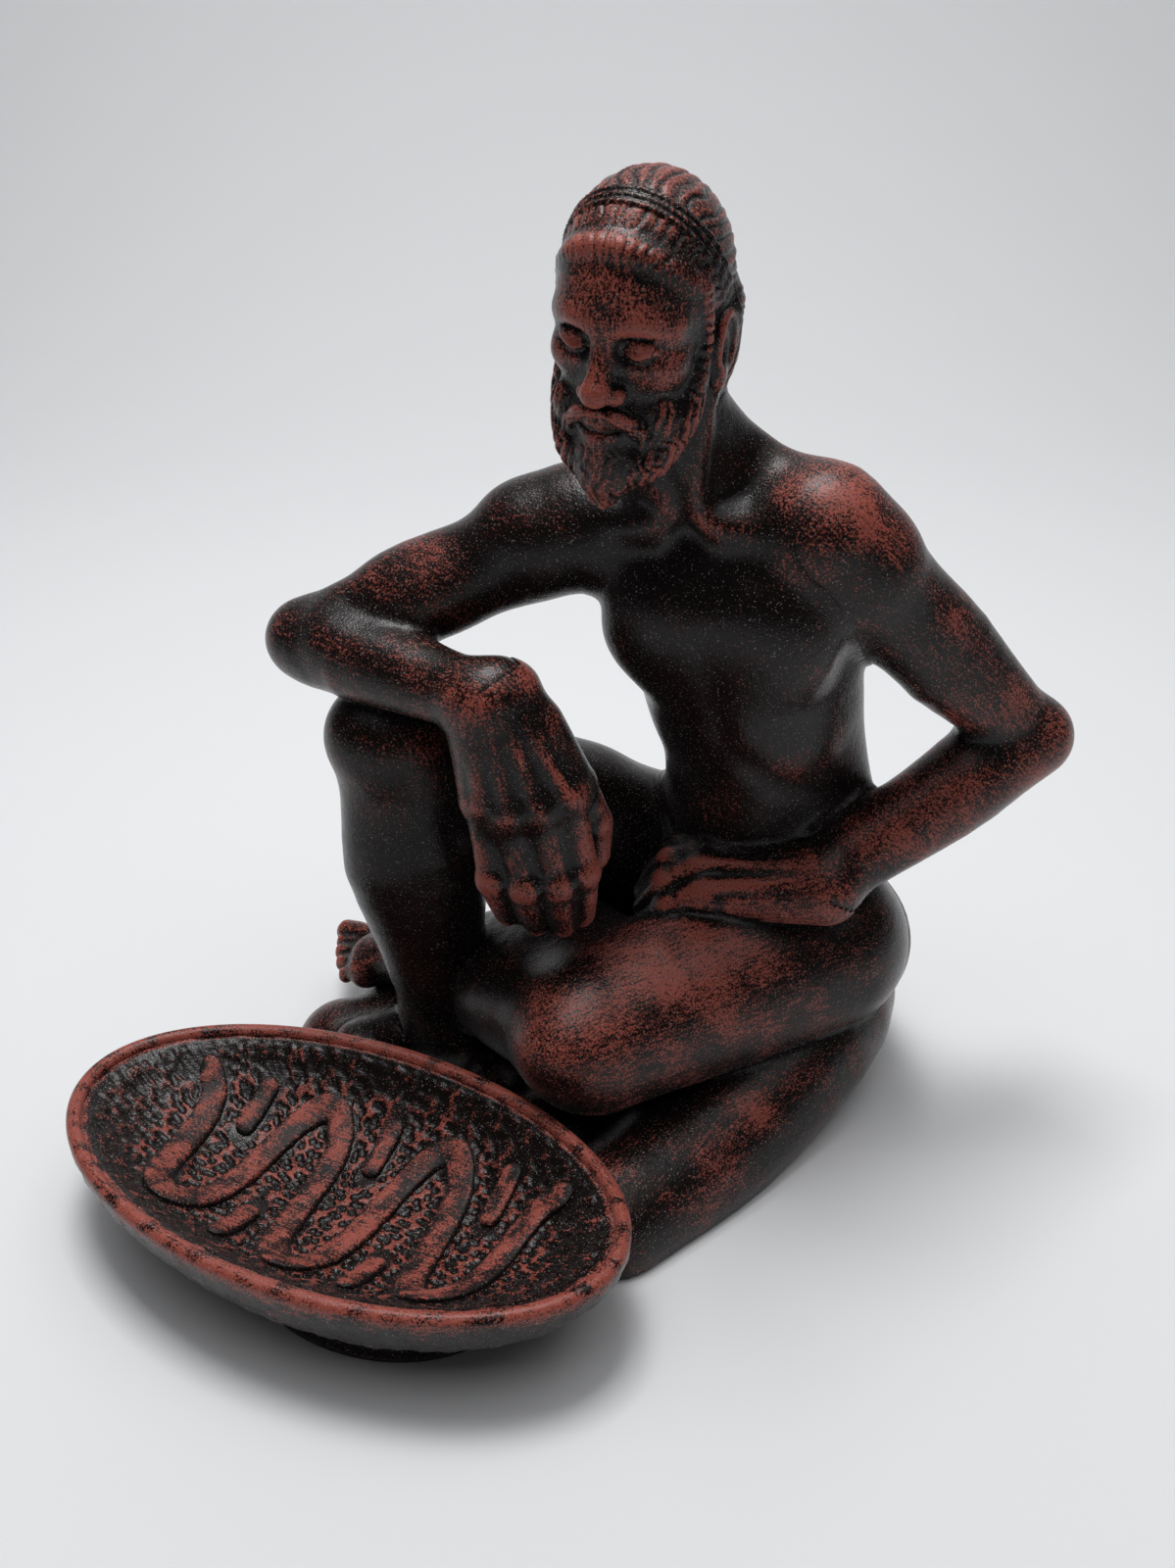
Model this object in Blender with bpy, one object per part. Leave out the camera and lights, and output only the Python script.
# Seated pottery figure with an oval dish, made as clay pieces that are stuck together with slip.
# Metres, +Z up. The chest faces -Y and the origin is on the flat underside of the seat mound.

import bpy
import bmesh
import numpy as np
from math import cos, pi, radians, sin
from mathutils import Matrix, Vector

MM = 0.001
SLIP_GAP = 0.3 * MM  # slip joint between two pieces that touch

# Heights above the table
MOUND_HEIGHT = 20 * MM  # along the right-hand edge
MOUND_LOW_HEIGHT = 12.5 * MM  # under the raised foot
MOUND_EDGE_WIDTH = 33 * MM
MOUND_BED_WIDTH = 30 * MM
HIP_HEIGHT = 38 * MM
WAIST_HEIGHT = 68 * MM
CHEST_HEIGHT = 116 * MM
SHOULDER_HEIGHT = 139.7 * MM
SHOULDER_TILT = 5.3 * MM  # how much higher the propped left shoulder stands
NECK_HEIGHT = 152 * MM
HEAD_HEIGHT_AT_EARS = 182.8 * MM
RAISED_KNEE_HEIGHT = 91 * MM
RAISED_ANKLE_HEIGHT = 19 * MM
FOLDED_KNEE_HEIGHT = 35 * MM
FOLDED_ANKLE_HEIGHT = 26 * MM

# Turns about the vertical, towards the figure's right, and the tilt of the head
PELVIS_TURN = radians(56)
CHEST_TURN = radians(22)
HEAD_TURN = radians(26)
HEAD_NOD = radians(9)
HEAD_LEAN = radians(5)

# Trunk and head
HIP_SPAN = 34 * MM
HIP_WIDTH = 52 * MM
HIP_DEPTH = 40 * MM
WAIST_WIDTH = 42 * MM
WAIST_DEPTH = 36 * MM
CHEST_WIDTH = 48 * MM
CHEST_DEPTH = 39 * MM
SHOULDER_SPAN = 51.5 * MM
NECK_WIDTH = 20.5 * MM
HEAD_WIDTH = 28 * MM
HEAD_DEPTH = 35.5 * MM
HEAD_LENGTH = 45 * MM  # crown to chin

# Limbs
SHOULDER_CAP_WIDTH = 23 * MM
UPPER_ARM_WIDTH = 21.5 * MM
ELBOW_WIDTH = 18 * MM
FOREARM_WIDTH = 20 * MM
WRIST_WIDTH = 14.5 * MM
ELBOW_ABOVE_KNEE = 6 * MM  # the right forearm's line over the top of the raised knee
WRIST_ABOVE_KNEE = 5 * MM
WRIST_ABOVE_THIGH = 8.5 * MM
ELBOW_DROP = 45.7 * MM  # the left elbow below the shoulders
RAISED_THIGH_WIDTH = 31 * MM
FOLDED_THIGH_WIDTH = 40 * MM
KNEE_WIDTH = 29 * MM
FOLDED_KNEE_WIDTH = 36 * MM
CALF_WIDTH = 30 * MM
CALF_BOW = 2.5 * MM  # the raised calf stands out to the figure's right
ANKLE_WIDTH = 19 * MM
HAND_LENGTH = 51 * MM
HAND_WIDTH = 24 * MM
HAND_THICKNESS = 9 * MM
FINGER_WIDTH = 5.8 * MM
FOOT_LENGTH = 44 * MM
FOOT_WIDTH = 19 * MM
TOE_WIDTH = 4.4 * MM

# Oval dish
DISH_LENGTH = 128 * MM
DISH_WIDTH = 70 * MM
DISH_TURN = radians(-26)
DISH_RIM_HEIGHT = 26 * MM
DISH_RIM_WIDTH = 3.4 * MM
DISH_FLOOR_THICKNESS = 4.5 * MM
DISH_FOOT_LENGTH = 56 * MM
DISH_FOOT_WIDTH = 42 * MM
DISH_FOOT_HEIGHT = 6 * MM
DISH_FOOT_SHIFT = 10 * MM  # towards the figure
DISH_FOOT_FLARE = 2 * MM
STRIP_WIDTH = 5.6 * MM
STRIP_HEIGHT = 1.7 * MM
MEANDER_LENGTH = 92 * MM
MEANDER_SWING = 40 * MM  # crest to trough in the middle, on the strip's centre line
MEANDER_TAPER = 0.32  # share of the swing that is lost towards the ends
MEANDER_CRESTS = 3
BAR_LENGTH = 13 * MM
BAR_WIDTH = 4.4 * MM

# Clay working: how finely each kind of piece is modelled
FINE_CLAY = 0.75 * MM
BROAD_CLAY = 1.2 * MM
SECTION_POINTS = 16
DISH_POINTS = 48
BROAD_ROUNDS = 8  # rounds of sponging
LIMB_ROUNDS = 5
FINE_ROUNDS = 3
HAND_ROUNDS = 2
TORSO_FACETS = 1150
HEAD_FACETS = 1900
ARM_FACETS = 620
HAND_FACETS = 850
LEG_FACETS = 700
FOOT_FACETS = 520
MOUND_FACETS = 700


def spot(x, y, height):
    """A point given by its place in plan, in millimetres, and its height."""
    return Vector((x * MM, y * MM, height))


def facing(turn):
    """Direction that something faces after turning to the figure's right."""
    return Vector((-sin(turn), -cos(turn), 0))


def leftward(turn):
    """Direction of the figure's left after the same turn."""
    return Vector((cos(turn), -sin(turn), 0))


# Joints of the posed figure
PELVIS = spot(43, 24, HIP_HEIGHT)
WAIST = spot(40.5, 20, WAIST_HEIGHT)
CHEST = spot(31, 5.5, CHEST_HEIGHT)
NECK = spot(20.4, -1.5, NECK_HEIGHT)
HEAD = spot(8.8, -14, HEAD_HEIGHT_AT_EARS)
DISH = spot(-51, -47, 0)
LEFT_HIP = PELVIS + leftward(PELVIS_TURN) * HIP_SPAN / 2
RIGHT_HIP = PELVIS - leftward(PELVIS_TURN) * HIP_SPAN / 2
COLLAR = spot(21.5, 2.5, SHOULDER_HEIGHT)
LEFT_SHOULDER = COLLAR + leftward(CHEST_TURN) * SHOULDER_SPAN / 2 + Vector((0, 0, SHOULDER_TILT / 2))
RIGHT_SHOULDER = COLLAR - leftward(CHEST_TURN) * SHOULDER_SPAN / 2 - Vector((0, 0, SHOULDER_TILT / 2))
RAISED_KNEE = spot(-41, 10, RAISED_KNEE_HEIGHT)
RAISED_ANKLE = spot(-33, 5, RAISED_ANKLE_HEIGHT)
FOLDED_KNEE = spot(1, -20, FOLDED_KNEE_HEIGHT)
FOLDED_ANKLE = spot(-36, 20, FOLDED_ANKLE_HEIGHT)
KNEE_TOP = RAISED_KNEE_HEIGHT + KNEE_WIDTH / 2
RIGHT_ELBOW = spot(-58.5, 16, KNEE_TOP + ELBOW_ABOVE_KNEE)
RIGHT_WRIST = spot(-20, -13, KNEE_TOP + WRIST_ABOVE_KNEE)
THIGH_TOP = HIP_HEIGHT + FOLDED_THIGH_WIDTH / 2
LEFT_ELBOW = spot(92.5, 5, SHOULDER_HEIGHT - ELBOW_DROP)
LEFT_WRIST = spot(51, -6, THIGH_TOP + WRIST_ABOVE_THIGH)


def clear_scene():
    for item in list(bpy.data.objects):
        bpy.data.objects.remove(item, do_unlink=True)


def clay_material(name, colour, roughness):
    """Plain fired clay, stained dark."""
    material = bpy.data.materials.new(name)
    material.use_nodes = True
    shader = material.node_tree.nodes["Principled BSDF"]
    shader.inputs["Base Color"].default_value = (*colour, 1)
    shader.inputs["Roughness"].default_value = roughness
    shader.inputs["Metallic"].default_value = 0
    return material


def own_material(piece):
    """Give a finished piece its own copy of its clay."""
    material = piece.data.materials[0].copy()
    material.name = piece.name + " clay"
    piece.data.materials.clear()
    piece.data.materials.append(material)


def smooth_rows(rows, steps):
    """Points on a smooth curve through the given rows of numbers."""
    rows = [2 * rows[0] - rows[1]] + rows + [2 * rows[-1] - rows[-2]]
    curve = []
    for before, start, end, after in zip(rows, rows[1:], rows[2:], rows[3:]):
        for step in range(steps):
            t = step / steps
            curve.append(0.5 * (2 * start + (end - before) * t
                                + (2 * before - 5 * start + 4 * end - after) * t ** 2
                                + (3 * start - before - 3 * end + after) * t ** 3))
    return curve + [rows[-2]]


def loft(clay, stations, side, steps=5):
    """A limb: oval sections (centre, width across side, depth) along a smooth line, with round ends."""
    halves = [np.array((*centre, width / 2, depth / 2)) for centre, width, depth in stations]
    rows = smooth_rows(halves, steps)
    centres = np.array([row[:3] for row in rows])
    ways = np.gradient(centres, axis=0)
    rings = [section(row, way, side, 0) for row, way in zip(rows, ways)]
    for angle in (30, 60):
        rings.insert(0, section(rows[0], -ways[0], side, radians(angle), flip=True))
        rings.append(section(rows[-1], ways[-1], side, radians(angle)))
    skin_rings(clay, rings, tip(rows[0], -ways[0]), tip(rows[-1], ways[-1]))


def section(row, way, side, angle, flip=False):
    """One oval ring; a ring of a round end is shrunk and moved out by its angle."""
    way = Vector(way).normalized()
    across = Vector(side) - way * way.dot(Vector(side))
    across.normalize()
    along_front = (way.cross(across)) * (-1 if flip else 1)
    centre = Vector(row[:3]) + way * min(row[3:]) * sin(angle)
    ring = []
    for point in range(SECTION_POINTS):
        turn = 2 * pi * point / SECTION_POINTS
        ring.append(centre + (across * row[3] * cos(turn) + along_front * row[4] * sin(turn)) * cos(angle))
    return ring


def tip(row, way):
    return Vector(row[:3]) + Vector(way).normalized() * min(row[3:])


def skin_rings(clay, rings, first_tip, last_tip):
    """Faces over a run of rings, closed with a point at each end."""
    loops = [[clay.verts.new(point) for point in ring] for ring in rings]
    count = len(loops[0])
    for low, high in zip(loops, loops[1:]):
        for index in range(count):
            after = (index + 1) % count
            clay.faces.new((low[index], low[after], high[after], high[index]))
    for loop, end in ((loops[0], first_tip), (loops[-1], last_tip)):
        pole = clay.verts.new(end)
        for index in range(count):
            clay.faces.new((loop[index], loop[(index + 1) % count], pole))
    bmesh.ops.recalc_face_normals(clay, faces=clay.faces)


def ball(clay, centre, radii, axes=Matrix.Identity(3)):
    """An egg of clay with its radii along the given axes."""
    place = Matrix.Translation(centre) @ axes.to_4x4() @ Matrix.Diagonal((*radii, 1))
    bmesh.ops.create_uvsphere(clay, u_segments=SECTION_POINTS, v_segments=10, radius=1, matrix=place)


def new_object(name, clay, material):
    """Put the clay in an object of its own."""
    mesh = bpy.data.meshes.new(name)
    clay.to_mesh(mesh)
    clay.free()
    piece = bpy.data.objects.new(name, mesh)
    piece.data.materials.append(material)
    bpy.context.scene.collection.objects.link(piece)
    return piece


def settle(piece):
    """Apply the piece's modifiers and shade it as round clay."""
    graph = bpy.context.evaluated_depsgraph_get()
    mesh = bpy.data.meshes.new_from_object(piece.evaluated_get(graph))
    mesh.name = piece.name
    piece.modifiers.clear()
    piece.data = mesh
    mesh.shade_smooth()
    mesh.set_sharp_from_angle(angle=radians(48))


def work_clay(piece, grain, rounds, triangles):
    """Fuse the lumps of a piece, sponge them smooth and keep the facets that its form needs."""
    fuse = piece.modifiers.new("Fuse", "REMESH")
    fuse.mode = "VOXEL"
    fuse.voxel_size = grain
    sponge = piece.modifiers.new("Sponge", "SMOOTH")
    sponge.factor = 0.5
    sponge.iterations = int(rounds)
    settle(piece)
    facets = 2 * len(piece.data.polygons)
    thin = piece.modifiers.new("Thin", "DECIMATE")
    thin.ratio = min(1, triangles / facets)
    settle(piece)


def cut_away(piece, cutter):
    """Take the cutter's space out of a piece."""
    cutter.hide_render = True
    cutter.display_type = "WIRE"
    trim = piece.modifiers.new("Trim", "BOOLEAN")
    trim.operation = "DIFFERENCE"
    trim.solver = "EXACT"
    trim.use_self = True
    trim.object = cutter
    settle(piece)
    bpy.data.objects.remove(cutter, do_unlink=True)


def slice_off(piece, point, normal, reach):
    """Cut a flat luting face and drop what is beyond it, within reach."""
    block = bmesh.new()
    turn = Vector((0, 0, 1)).rotation_difference(normal).to_matrix().to_4x4()
    offset = Matrix.Translation((0, 0, reach / 2 + SLIP_GAP / 2))
    bmesh.ops.create_cube(block, size=reach, matrix=Matrix.Translation(point) @ turn @ offset)
    cut_away(piece, new_object("knife", block, piece.data.materials[0]))


def seat_against(piece, *others):
    """Hollow a piece where it touches others, one slip gap clear of them."""
    for other in others:
        clay = bmesh.new()
        clay.from_mesh(other.data)
        bmesh.ops.remove_doubles(clay, verts=clay.verts, dist=SLIP_GAP / 3)
        bmesh.ops.triangulate(clay, faces=clay.faces)
        clay.normal_update()
        for vert in clay.verts:
            vert.co += vert.normal * SLIP_GAP * 1.3
        cut_away(piece, new_object("print", clay, piece.data.materials[0]))


def make_torso(material):
    """Pelvis, ribs, shoulder girdle and neck, cut flat for the head."""
    clay = bmesh.new()
    up = Vector((0, 0, 1))
    left = leftward(CHEST_TURN)
    front = facing(CHEST_TURN)
    hips_left = leftward(PELVIS_TURN)
    upper_ribs = CHEST.lerp(COLLAR, 0.6)
    loft(clay, [(PELVIS - up * HIP_DEPTH * 0.2, HIP_WIDTH * 0.9, HIP_DEPTH * 0.9),
                (PELVIS + up * HIP_DEPTH * 0.15, HIP_WIDTH, HIP_DEPTH),
                (WAIST, WAIST_WIDTH, WAIST_DEPTH)], hips_left + left)
    loft(clay, [(PELVIS, HIP_WIDTH * 0.8, HIP_DEPTH * 0.8), (WAIST, WAIST_WIDTH, WAIST_DEPTH),
                (WAIST.lerp(CHEST, 0.55), CHEST_WIDTH * 0.9, CHEST_DEPTH * 0.94),
                (CHEST, CHEST_WIDTH, CHEST_DEPTH),
                (upper_ribs, CHEST_WIDTH * 0.98, CHEST_DEPTH * 0.82)], left)
    girdle = SHOULDER_CAP_WIDTH * 0.86
    loft(clay, [(LEFT_SHOULDER.lerp(COLLAR, 0.2), girdle, girdle), (COLLAR, girdle, girdle),
                (RIGHT_SHOULDER.lerp(COLLAR, 0.2), girdle, girdle)], front)
    skull_base = NECK.lerp(HEAD, 0.75)
    loft(clay, [(COLLAR, NECK_WIDTH * 1.3, NECK_WIDTH * 1.2), (NECK, NECK_WIDTH, NECK_WIDTH),
                (skull_base, NECK_WIDTH, NECK_WIDTH)], left)
    for sense, shoulder in ((1, LEFT_SHOULDER), (-1, RIGHT_SHOULDER)):
        nape = NECK.lerp(HEAD, 0.3) - front * NECK_WIDTH * 0.25
        slope = COLLAR.lerp(shoulder, 0.35) - front * NECK_WIDTH * 0.3 + up * NECK_WIDTH * 0.45
        slope_end = COLLAR.lerp(shoulder, 0.68) + up * NECK_WIDTH * 0.2
        loft(clay, [(nape, NECK_WIDTH * 0.45, NECK_WIDTH * 0.45), (slope, NECK_WIDTH * 0.6, NECK_WIDTH * 0.6),
                    (slope_end, NECK_WIDTH * 0.4, NECK_WIDTH * 0.4)], front)
        breast = CHEST + left * sense * CHEST_WIDTH * 0.22 + front * CHEST_DEPTH * 0.27
        ball(clay, breast + up * CHEST_DEPTH * 0.22,
             (CHEST_WIDTH * 0.26, CHEST_DEPTH * 0.2, CHEST_DEPTH * 0.32),
             Matrix((left, -front, up)).transposed())
        flank = CHEST + left * sense * CHEST_WIDTH * 0.38 - front * CHEST_DEPTH * 0.1
        ball(clay, flank + up * CHEST_DEPTH * 0.2, [CHEST_DEPTH * 0.2] * 3)
        rear = PELVIS + hips_left * sense * HIP_SPAN * 0.41 - facing(PELVIS_TURN) * HIP_DEPTH * 0.23
        ball(clay, rear - up * HIP_DEPTH * 0.08, [HIP_DEPTH * 0.455] * 3)
    torso = new_object("torso", clay, material)
    work_clay(torso, BROAD_CLAY, BROAD_ROUNDS, TORSO_FACETS)
    slice_off(torso, NECK.lerp(HEAD, 0.42), (HEAD - NECK).normalized(), NECK_WIDTH * 3)
    return torso


def head_axes():
    """Columns: the head's left, its face and its crown."""
    turn = Matrix.Rotation(-HEAD_TURN, 3, "Z")
    tilt = Matrix.Rotation(HEAD_NOD, 3, "X") @ Matrix.Rotation(HEAD_LEAN, 3, "Y")
    return turn @ tilt @ Matrix(((1, 0, 0), (0, -1, 0), (0, 0, 1)))


def make_head(material):
    clay = bmesh.new()
    axes = head_axes()
    size = Vector((HEAD_WIDTH, HEAD_DEPTH, HEAD_LENGTH)) / 2
    left, front, crown = axes.col

    def on_head(across, forward, up):
        """A place on the head in shares of its half sizes."""
        return HEAD + axes @ Vector((across * size.x, forward * size.y, up * size.z))

    ball(clay, on_head(0, -0.12, 0.32), (size.x, size.y * 0.97, size.z * 0.68), axes)
    loft(clay, [(on_head(0, 0.25, 0.15), size.x * 1.66, size.y * 1.2),
                (on_head(0, 0.36, -0.35), size.x * 1.5, size.y * 1.06),
                (on_head(0, 0.48, -0.78), size.x * 0.95, size.y * 0.75)], left)
    loft(clay, [(on_head(0, 0.82, 0.06), size.x * 0.22, size.y * 0.22),
                (on_head(0, 0.99, -0.27), size.x * 0.38, size.y * 0.24)], left)
    loft(clay, [(on_head(-0.58, 0.62, 0.16), size.z * 0.16, size.z * 0.16),
                (on_head(0, 0.79, 0.15), size.z * 0.17, size.z * 0.2),
                (on_head(0.58, 0.62, 0.16), size.z * 0.16, size.z * 0.16)], crown)
    loft(clay, [(on_head(-0.24, 0.82, -0.5), size.z * 0.1, size.z * 0.1),
                (on_head(0, 0.9, -0.5), size.z * 0.13, size.z * 0.13),
                (on_head(0.24, 0.82, -0.5), size.z * 0.1, size.z * 0.1)], crown)
    for sense in (-1, 1):
        ball(clay, on_head(0.38 * sense, 0.67, 0.02), [size.x * 0.21] * 3)
        ball(clay, on_head(0.55 * sense, 0.55, -0.2), [size.x * 0.27] * 3)
        ball(clay, on_head(0.98 * sense, -0.14, -0.04), (size.x * 0.14, size.y * 0.19, size.z * 0.27), axes)
        loft(clay, [(on_head(0, 0.94, -0.38), size.z * 0.13, size.z * 0.13),
                    (on_head(0.45 * sense, 0.76, -0.55), size.z * 0.13, size.z * 0.12)], crown)
        loft(clay, [(on_head(0.9 * sense, 0.12, -0.1), size.z * 0.2, size.z * 0.2),
                    (on_head(0.7 * sense, 0.36, -0.6), size.z * 0.36, size.z * 0.26),
                    (on_head(0.28 * sense, 0.62, -0.9), size.z * 0.4, size.z * 0.34)], crown)
    loft(clay, [(on_head(0, 0.66, -0.85), size.x * 0.9, size.y * 0.5),
                (on_head(0, 0.7, -1.05), size.x * 0.62, size.y * 0.42),
                (on_head(0, 0.72, -1.22), size.x * 0.3, size.y * 0.25)], left)
    ball(clay, on_head(0, -0.18, 0.34), (size.x * 1.04, size.y * 0.95, size.z * 0.73), axes)
    loft(clay, [(on_head(0, -0.82, 0.2), size.x * 1.7, size.y * 0.55),
                (on_head(0, -0.86, -0.3), size.x * 1.55, size.y * 0.5),
                (on_head(0, -0.72, -0.72), size.x * 1.1, size.y * 0.35)], left)
    band = []
    for point in range(13):
        turn = 2 * pi * point / 12
        band.append((on_head(1.0 * sin(turn), -0.16 + 0.95 * cos(turn), 0.32 + 0.3 * cos(turn)),
                     size.z * 0.15, size.z * 0.09))
    loft(clay, band, crown)
    neck_top = NECK.lerp(HEAD, 0.8)
    loft(clay, [(NECK.lerp(HEAD, 0.2), NECK_WIDTH, NECK_WIDTH), (neck_top, NECK_WIDTH, NECK_WIDTH)], left)
    head = new_object("head", clay, material)
    work_clay(head, FINE_CLAY, FINE_ROUNDS, HEAD_FACETS)
    slice_off(head, NECK.lerp(HEAD, 0.42), (NECK - HEAD).normalized(), NECK_WIDTH * 2)
    return head


def make_arm(name, shoulder, elbow, wrist, hand_way, material):
    """Deltoid, upper arm, elbow and forearm, cut flat for the hand."""
    clay = bmesh.new()
    bend = (elbow - shoulder).cross(wrist - elbow).normalized()
    reach = (wrist - elbow).normalized()
    way = (elbow - shoulder).normalized()
    inner = (reach - way * reach.dot(way)).normalized()
    loft(clay, [(shoulder, SHOULDER_CAP_WIDTH, SHOULDER_CAP_WIDTH),
                (shoulder.lerp(elbow, 0.3), UPPER_ARM_WIDTH, UPPER_ARM_WIDTH * 1.02),
                (shoulder.lerp(elbow, 0.62), UPPER_ARM_WIDTH * 0.9, UPPER_ARM_WIDTH * 0.98),
                (elbow, ELBOW_WIDTH, ELBOW_WIDTH * 0.94)], bend)
    loft(clay, [(elbow, ELBOW_WIDTH, ELBOW_WIDTH * 0.94),
                (elbow.lerp(wrist, 0.3), FOREARM_WIDTH, FOREARM_WIDTH * 0.98),
                (elbow.lerp(wrist, 0.78), WRIST_WIDTH * 1.1, WRIST_WIDTH * 1.04),
                (wrist + hand_way * WRIST_WIDTH * 0.3, WRIST_WIDTH * 1.1, WRIST_WIDTH * 0.85)], bend)
    ball(clay, elbow + (way - reach) * ELBOW_WIDTH * 0.14, [ELBOW_WIDTH * 0.36] * 3)
    ball(clay, elbow + inner * ELBOW_WIDTH * 0.26 - way * ELBOW_WIDTH * 0.14, [ELBOW_WIDTH * 0.37] * 3)
    arm = new_object(name, clay, material)
    work_clay(arm, BROAD_CLAY, LIMB_ROUNDS, ARM_FACETS)
    slice_off(arm, wrist, (reach + hand_way).normalized(), WRIST_WIDTH * 2.4)
    return arm


def make_hand(name, elbow, wrist, way, palm, thumb_sense, fold, material):
    """A hand from its way and the direction its palm faces; fold bends the fingers into the palm."""
    clay = bmesh.new()
    palm = (palm - way * palm.dot(way)).normalized()
    thumb_side = way.cross(palm) * thumb_sense
    reach = (wrist - elbow).normalized()

    def on_hand(forward, across, into_palm):
        return wrist + way * forward * HAND_LENGTH + thumb_side * across + palm * into_palm

    half = HAND_WIDTH / 2
    loft(clay, [(wrist - reach * WRIST_WIDTH * 0.5, WRIST_WIDTH * 1.1, WRIST_WIDTH * 0.85),
                (on_hand(0.08, 0, 0), WRIST_WIDTH * 1.2, HAND_THICKNESS * 1.1),
                (on_hand(0.28, 0, 0), HAND_WIDTH * 0.92, HAND_THICKNESS * 1.05),
                (on_hand(0.46, 0, 0), HAND_WIDTH, HAND_THICKNESS * 0.9)], thumb_side)
    pitch = (HAND_WIDTH - FINGER_WIDTH) / 3
    curl = HAND_THICKNESS * 0.12
    for finger, share in enumerate((0.44, 0.5, 0.46, 0.36)):
        across = half - FINGER_WIDTH / 2 - pitch * finger
        bent = share * (1 - fold)
        drop = share * fold * HAND_LENGTH
        knuckle = on_hand(0.44, across, -curl)
        middle = on_hand(0.5 + bent * 0.55, across * 1.08, drop * 0.3)
        end = on_hand(0.5 + bent, across * 1.02, curl * 4 + drop)
        loft(clay, [(knuckle, FINGER_WIDTH, FINGER_WIDTH), (middle, FINGER_WIDTH, FINGER_WIDTH * 0.95),
                    (end, FINGER_WIDTH * 0.84, FINGER_WIDTH * 0.8)], thumb_side, 3)
    loft(clay, [(on_hand(0.12, half * 0.55, HAND_THICKNESS * 0.2), FINGER_WIDTH * 1.5, HAND_THICKNESS * 0.8),
                (on_hand(0.36, half * 1.1, HAND_THICKNESS * 0.25), FINGER_WIDTH * 1.15, FINGER_WIDTH * 1.1),
                (on_hand(0.6, half * 1.22, HAND_THICKNESS * 0.35), FINGER_WIDTH, FINGER_WIDTH * 0.9)],
         thumb_side, 4)
    hand = new_object(name, clay, material)
    work_clay(hand, FINE_CLAY, HAND_ROUNDS, HAND_FACETS)
    slice_off(hand, wrist, -(reach + way).normalized(), WRIST_WIDTH * 2.4)
    return hand


def make_leg(name, parts, side, ankle, shin_way, material):
    """A leg from the lofts of its parts, cut flat for the foot."""
    clay = bmesh.new()
    for stations in parts:
        loft(clay, stations, side)
    leg = new_object(name, clay, material)
    work_clay(leg, BROAD_CLAY, LIMB_ROUNDS, LEG_FACETS)
    slice_off(leg, ankle, shin_way, ANKLE_WIDTH * 2)
    return leg


def make_foot(name, ankle, shin_way, heading, sole_drop, material):
    """A foot on its heel, ball and five toes."""
    clay = bmesh.new()
    heading = heading.normalized()
    up = Vector((0, 0, 1))
    across = heading.cross(up).normalized()
    sole = ankle - up * sole_drop

    def on_foot(forward, aside, height):
        return sole + heading * forward * FOOT_LENGTH + across * aside + up * height

    loft(clay, [(ankle - shin_way * ANKLE_WIDTH * 0.6, ANKLE_WIDTH, ANKLE_WIDTH * 0.95),
                (ankle, ANKLE_WIDTH, ANKLE_WIDTH * 0.95),
                (on_foot(-0.02, 0, FOOT_WIDTH * 0.45), FOOT_WIDTH * 0.85, FOOT_WIDTH * 0.9)], across)
    loft(clay, [(on_foot(-0.08, 0, FOOT_WIDTH * 0.4), FOOT_WIDTH * 0.8, FOOT_WIDTH * 0.7),
                (on_foot(0.2, 0, FOOT_WIDTH * 0.5), FOOT_WIDTH * 0.8, FOOT_WIDTH * 0.85),
                (on_foot(0.5, 0, FOOT_WIDTH * 0.32), FOOT_WIDTH, FOOT_WIDTH * 0.55)], across)
    pitch = (FOOT_WIDTH - TOE_WIDTH) / 4
    inner = 1 if name.startswith("left") else -1
    for toe in range(5):
        aside = inner * (FOOT_WIDTH / 2 - TOE_WIDTH / 2 - pitch * toe)
        girth = TOE_WIDTH * (1.5 - 0.1 * toe)
        end = 0.8 - 0.035 * toe
        loft(clay, [(on_foot(0.45, aside * 0.9, girth * 0.7), girth, girth),
                    (on_foot(end, aside, girth * 0.55), girth, girth)], across, 3)
    foot = new_object(name, clay, material)
    work_clay(foot, FINE_CLAY, FINE_ROUNDS, FOOT_FACETS)
    slice_off(foot, ankle, -shin_way, ANKLE_WIDTH * 2)
    return foot


def make_mound(material):
    """The bean-shaped ground that the figure sits on, flat underneath."""
    clay = bmesh.new()
    up = Vector((0, 0, 1))
    across = Vector((0, 1, 0))
    tall, low, middle = 2 * MOUND_HEIGHT, 2 * MOUND_LOW_HEIGHT, MOUND_HEIGHT + MOUND_LOW_HEIGHT
    edge, bed = MOUND_EDGE_WIDTH, MOUND_BED_WIDTH
    loft(clay, [(spot(57, 40, 0), edge, tall), (spot(54, 14, 0), edge, tall),
                (spot(27, -21, 0), edge, tall), (spot(4, -43, 0), edge * 0.9, tall * 0.9)],
         Vector((0.8, -0.6, 0)))
    loft(clay, [(spot(-60, 17, 0), bed * 0.86, low), (spot(-36, 20, 0), bed, low),
                (spot(-2, 26, 0), bed, middle), (spot(38, 34, 0), edge, tall)], across)
    loft(clay, [(spot(-46, 34, 0), bed * 0.86, low), (spot(-14, 36, 0), bed, low),
                (spot(22, 40, 0), bed, middle)], across)
    loft(clay, [(spot(-16, 4, 0), bed, low), (spot(14, 6, 0), bed, middle),
                (spot(40, 22, 0), edge, tall)], across)
    loft(clay, [(spot(-9, -18, 0), bed, low), (spot(12, -12, 0), edge, middle)], across)
    mound = new_object("seat_mound", clay, material)
    work_clay(mound, BROAD_CLAY, BROAD_ROUNDS, MOUND_FACETS)
    slice_off(mound, up * SLIP_GAP / 2, -up, DISH_LENGTH * 2)
    return mound


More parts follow.
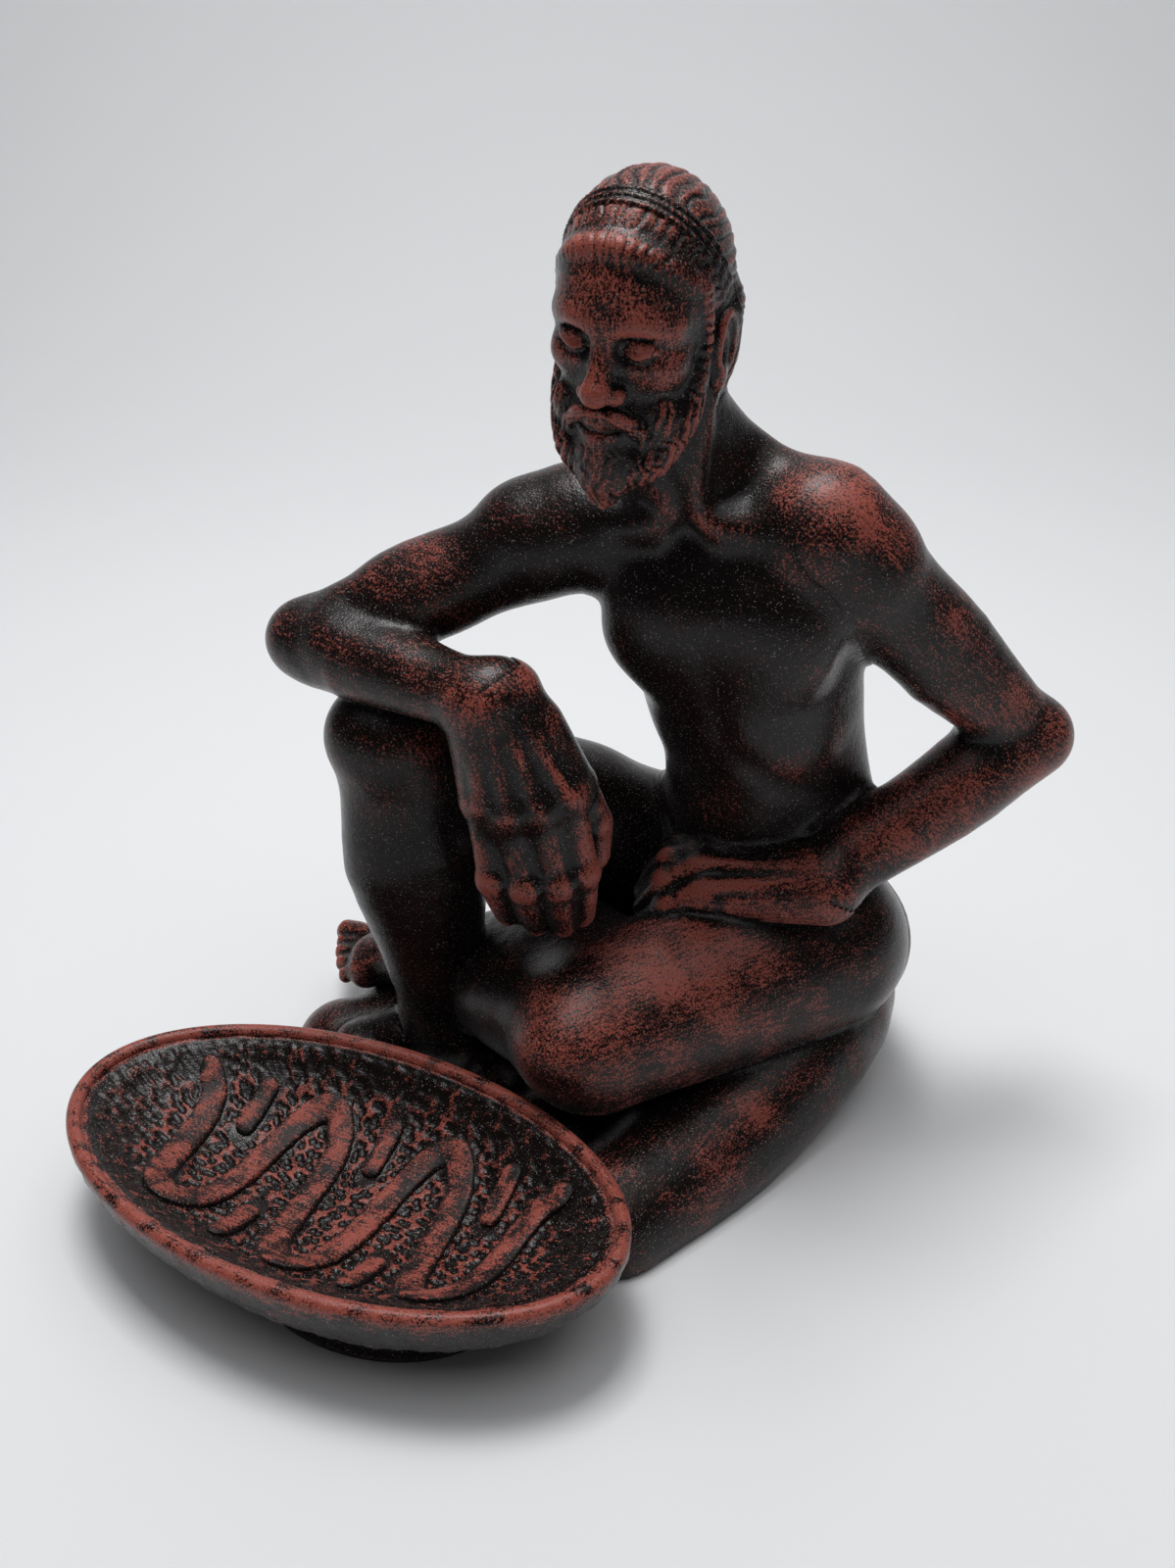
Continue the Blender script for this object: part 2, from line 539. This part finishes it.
def dish_place(along, aside, height):
    """A place in the dish's own directions, along and across its length."""
    turn = Matrix.Rotation(DISH_TURN, 3, "Z")
    return DISH + turn @ Vector((along, aside, height))


def bowl_height(along, aside):
    """Height of the dish's hollow: a flat middle that rises in a curve to the rim."""
    floor = DISH_FOOT_HEIGHT + DISH_FLOOR_THICKNESS
    share_along = along / (DISH_LENGTH / 2 - DISH_RIM_WIDTH)
    share_aside = aside / (DISH_WIDTH / 2 - DISH_RIM_WIDTH)
    return floor + (DISH_RIM_HEIGHT - floor) * (share_along ** 2 + share_aside ** 2) ** 1.5


def make_dish(material):
    """Oval sections from the foot up the outside, over the round rim and down the hollow."""
    clay = bmesh.new()
    half = Vector((DISH_LENGTH, DISH_WIDTH)) / 2

    def oval(along, aside, height, shift=0):
        turns = [2 * pi * point / DISH_POINTS for point in range(DISH_POINTS)]
        return [dish_place(shift + along * cos(turn), aside * sin(turn), height) for turn in turns]

    bottom = DISH_FOOT_HEIGHT + SLIP_GAP
    shoulder_height = DISH_RIM_HEIGHT - DISH_RIM_WIDTH * 0.5
    inner = half - Vector((DISH_RIM_WIDTH, DISH_RIM_WIDTH))
    foot = Vector((DISH_FOOT_LENGTH, DISH_FOOT_WIDTH)) / 2
    rings = []
    for step in range(7):
        share = step / 6
        size = foot.lerp(half, sin(share * pi / 2))
        shift = DISH_FOOT_SHIFT * (1 - share) ** 2
        height = bottom + (shoulder_height - bottom) * (1 - cos(share * pi / 2))
        rings.append(oval(size.x, size.y, height, shift))
    for turn in (60, 120):
        lip = DISH_RIM_WIDTH / 2 * (1 - cos(radians(turn)))
        rise = DISH_RIM_WIDTH / 2 * sin(radians(turn))
        rings.append(oval(half.x - lip, half.y - lip, shoulder_height + rise))
    for step in range(9):
        share = 1 - (step / 9) ** 1.1
        height = min(bowl_height(inner.x * share, 0), shoulder_height)
        rings.append(oval(inner.x * share, inner.y * share, height))
    skin_rings(clay, rings, dish_place(DISH_FOOT_SHIFT, 0, bottom), dish_place(0, 0, bowl_height(0, 0)))
    dish = new_object("dish_bowl", clay, material)
    settle(dish)
    return dish


def make_dish_foot(material):
    """Oval foot with a slight flare, under the middle of the dish."""
    clay = bmesh.new()
    rings = []
    for height, flare in ((0, DISH_FOOT_FLARE * 0.5), (DISH_FOOT_HEIGHT * 0.15, DISH_FOOT_FLARE),
                          (DISH_FOOT_HEIGHT * 0.6, DISH_FOOT_FLARE * 0.2), (DISH_FOOT_HEIGHT, 0)):
        turns = [2 * pi * point / 40 for point in range(40)]
        rings.append([dish_place(DISH_FOOT_SHIFT + (DISH_FOOT_LENGTH / 2 + flare) * cos(turn),
                                 (DISH_FOOT_WIDTH / 2 + flare) * sin(turn), height) for turn in turns])
    underside = dish_place(DISH_FOOT_SHIFT, 0, 0)
    top = dish_place(DISH_FOOT_SHIFT, 0, DISH_FOOT_HEIGHT)
    skin_rings(clay, rings, underside, top)
    foot = new_object("dish_foot", clay, material)
    settle(foot)
    return foot


def make_strip(name, path, width, material):
    """A half-round strip of clay laid in the dish along a path of (along, aside) places."""
    clay = bmesh.new()
    points = np.array(path)
    ways = np.gradient(points, axis=0)
    ways /= np.linalg.norm(ways, axis=1)[:, None]
    rings = []
    reach = np.concatenate(([0], np.cumsum(np.linalg.norm(np.diff(points, axis=0), axis=1))))
    for place, way, run in zip(points, ways, reach):
        to_end = min(run, reach[-1] - run) + width * 0.12
        taper = min(1, (1 - max(0, 1 - to_end / (width / 2)) ** 2) ** 0.5)
        across = np.array((-way[1], way[0])) * width / 2 * taper
        ring = []
        for share, lift in ((-1, 0), (-0.86, 0.55), (-0.4, 0.94), (0.4, 0.94), (0.86, 0.55), (1, 0)):
            along, aside = place + across * share
            lie = bowl_height(along, aside) + SLIP_GAP * 1.2
            ring.append(dish_place(along, aside, lie + STRIP_HEIGHT * lift * taper))
        rings.append(ring)
    first, last = (sum(ring, Vector()) / len(ring) for ring in (rings[0], rings[-1]))
    skin_rings(clay, rings, first, last)
    strip = new_object(name, clay, material)
    settle(strip)
    return strip


def make_ornament(material):
    """A regular meander along the dish, smaller towards its ends, and a short bar in each bend."""

    def half_swing(along):
        return MEANDER_SWING / 2 * (1 - MEANDER_TAPER * (along / (MEANDER_LENGTH / 2)) ** 2)

    path = []
    spans = MEANDER_CRESTS * 18
    for step in range(spans + 1):
        turn = 2 * pi * MEANDER_CRESTS * step / spans
        run = MEANDER_LENGTH * (step / spans - 0.5) + STRIP_WIDTH * 0.3 * sin(2 * turn)
        path.append((run, half_swing(run) * cos(turn)))
    make_strip("dish_meander", path, STRIP_WIDTH, material)
    bend = MEANDER_LENGTH / MEANDER_CRESTS / 2
    for bar in range(2 * MEANDER_CRESTS - 1):
        along = (bar - MEANDER_CRESTS + 1) * bend
        sense = -1 if bar % 2 else 1
        middle = half_swing(along) - BAR_LENGTH / 2 + STRIP_WIDTH * 0.4
        line = [(along, sense * (middle + BAR_LENGTH * (step / 8 - 0.5))) for step in range(9)]
        make_strip(f"dish_bar_{bar + 1}", line, BAR_WIDTH, material)


def build():
    clear_scene()
    stained = clay_material("stained terracotta", (0.030, 0.016, 0.013), 0.36)
    rubbed = clay_material("rubbed terracotta", (0.22, 0.055, 0.037), 0.45)
    down = Vector((0, 0, -1))

    torso = make_torso(stained)
    head = make_head(stained)

    pelvis_left = leftward(PELVIS_TURN)
    thigh = [(RIGHT_HIP, RAISED_THIGH_WIDTH * 1.2, RAISED_THIGH_WIDTH * 1.2),
             (RIGHT_HIP.lerp(RAISED_KNEE, 0.5), RAISED_THIGH_WIDTH, RAISED_THIGH_WIDTH * 1.05),
             (RAISED_KNEE, KNEE_WIDTH, KNEE_WIDTH)]
    back = -facing(PELVIS_TURN) * CALF_WIDTH * 0.1 - Vector((CALF_BOW, 0, 0))
    shin = [(RAISED_KNEE, KNEE_WIDTH, KNEE_WIDTH * 0.95),
            (RAISED_KNEE.lerp(RAISED_ANKLE, 0.35) + back, CALF_WIDTH, CALF_WIDTH * 1.05),
            (RAISED_KNEE.lerp(RAISED_ANKLE, 0.72), CALF_WIDTH * 0.8, CALF_WIDTH * 0.82),
            (RAISED_ANKLE + down * ANKLE_WIDTH * 0.2, ANKLE_WIDTH, ANKLE_WIDTH)]
    shin_way = (RAISED_ANKLE - RAISED_KNEE).normalized()
    right_leg = make_leg("right_leg", (thigh, shin), pelvis_left, RAISED_ANKLE, shin_way, stained)
    right_foot = make_foot("right_foot", RAISED_ANKLE, shin_way, Vector((-1, -0.06, 0)),
                           RAISED_ANKLE_HEIGHT - MOUND_LOW_HEIGHT * 0.6, stained)

    folded_way = (FOLDED_ANKLE - FOLDED_KNEE).normalized()
    thigh = [(LEFT_HIP, FOLDED_THIGH_WIDTH * 1.05, FOLDED_THIGH_WIDTH * 1.05),
             (LEFT_HIP.lerp(FOLDED_KNEE, 0.45), FOLDED_THIGH_WIDTH, FOLDED_THIGH_WIDTH),
             (FOLDED_KNEE, FOLDED_KNEE_WIDTH, FOLDED_KNEE_WIDTH * 0.95)]
    shin = [(FOLDED_KNEE, FOLDED_KNEE_WIDTH * 0.9, FOLDED_KNEE_WIDTH * 0.8),
            (FOLDED_KNEE.lerp(FOLDED_ANKLE, 0.45), CALF_WIDTH * 0.95, CALF_WIDTH * 0.85),
            (FOLDED_ANKLE + folded_way * ANKLE_WIDTH * 0.3, ANKLE_WIDTH, ANKLE_WIDTH)]
    inward = Vector((0.6, 0.8, 0)) * CALF_WIDTH
    pressed = [(FOLDED_KNEE + inward * 0.4, CALF_WIDTH * 0.93, CALF_WIDTH * 0.93),
               (FOLDED_KNEE.lerp(FOLDED_ANKLE, 0.36) + inward * 0.45, CALF_WIDTH, CALF_WIDTH),
               (FOLDED_KNEE.lerp(FOLDED_ANKLE, 0.7) + inward * 0.28, CALF_WIDTH * 0.75, CALF_WIDTH * 0.75)]
    upright = Vector((0, 0, 1))
    left_leg = make_leg("left_leg", (thigh, shin, pressed), upright, FOLDED_ANKLE, folded_way, stained)
    left_foot = make_foot("left_foot", FOLDED_ANKLE, folded_way, Vector((-0.84, 0.54, 0)),
                          FOLDED_ANKLE_HEIGHT - MOUND_LOW_HEIGHT, stained)

    right_way = Vector((0.29, -0.13, -0.95)).normalized()
    left_way = Vector((-0.9, 0.35, -0.2)).normalized()
    right_arm = make_arm("right_arm", RIGHT_SHOULDER, RIGHT_ELBOW, RIGHT_WRIST, right_way, stained)
    left_arm = make_arm("left_arm", LEFT_SHOULDER, LEFT_ELBOW, LEFT_WRIST, left_way, stained)
    right_palm = Vector((-0.1, 1, 0))
    right_hand = make_hand("right_hand", RIGHT_ELBOW, RIGHT_WRIST, right_way, right_palm, 1, 0, stained)
    left_palm = Vector((0.15, 0.45, -0.88))
    left_hand = make_hand("left_hand", LEFT_ELBOW, LEFT_WRIST, left_way, left_palm, -1, 0.4, stained)

    dish = make_dish(stained)
    make_dish_foot(stained)
    make_ornament(rubbed)
    mound = make_mound(stained)

    seat_against(torso, left_arm, right_arm)
    seat_against(head, torso)
    seat_against(right_leg, torso)
    seat_against(left_leg, torso, right_leg, dish)
    seat_against(right_foot, right_leg, left_leg, dish)
    seat_against(left_foot, left_leg, right_leg, right_foot)
    seat_against(right_arm, right_leg, head)
    seat_against(left_arm, left_leg)
    seat_against(right_hand, right_arm, right_leg, left_leg)
    seat_against(left_hand, left_arm, left_leg, right_leg, torso)
    seat_against(mound, torso, left_leg, right_leg, left_foot, right_foot, dish)
    for piece in bpy.context.scene.objects:
        own_material(piece)


build()
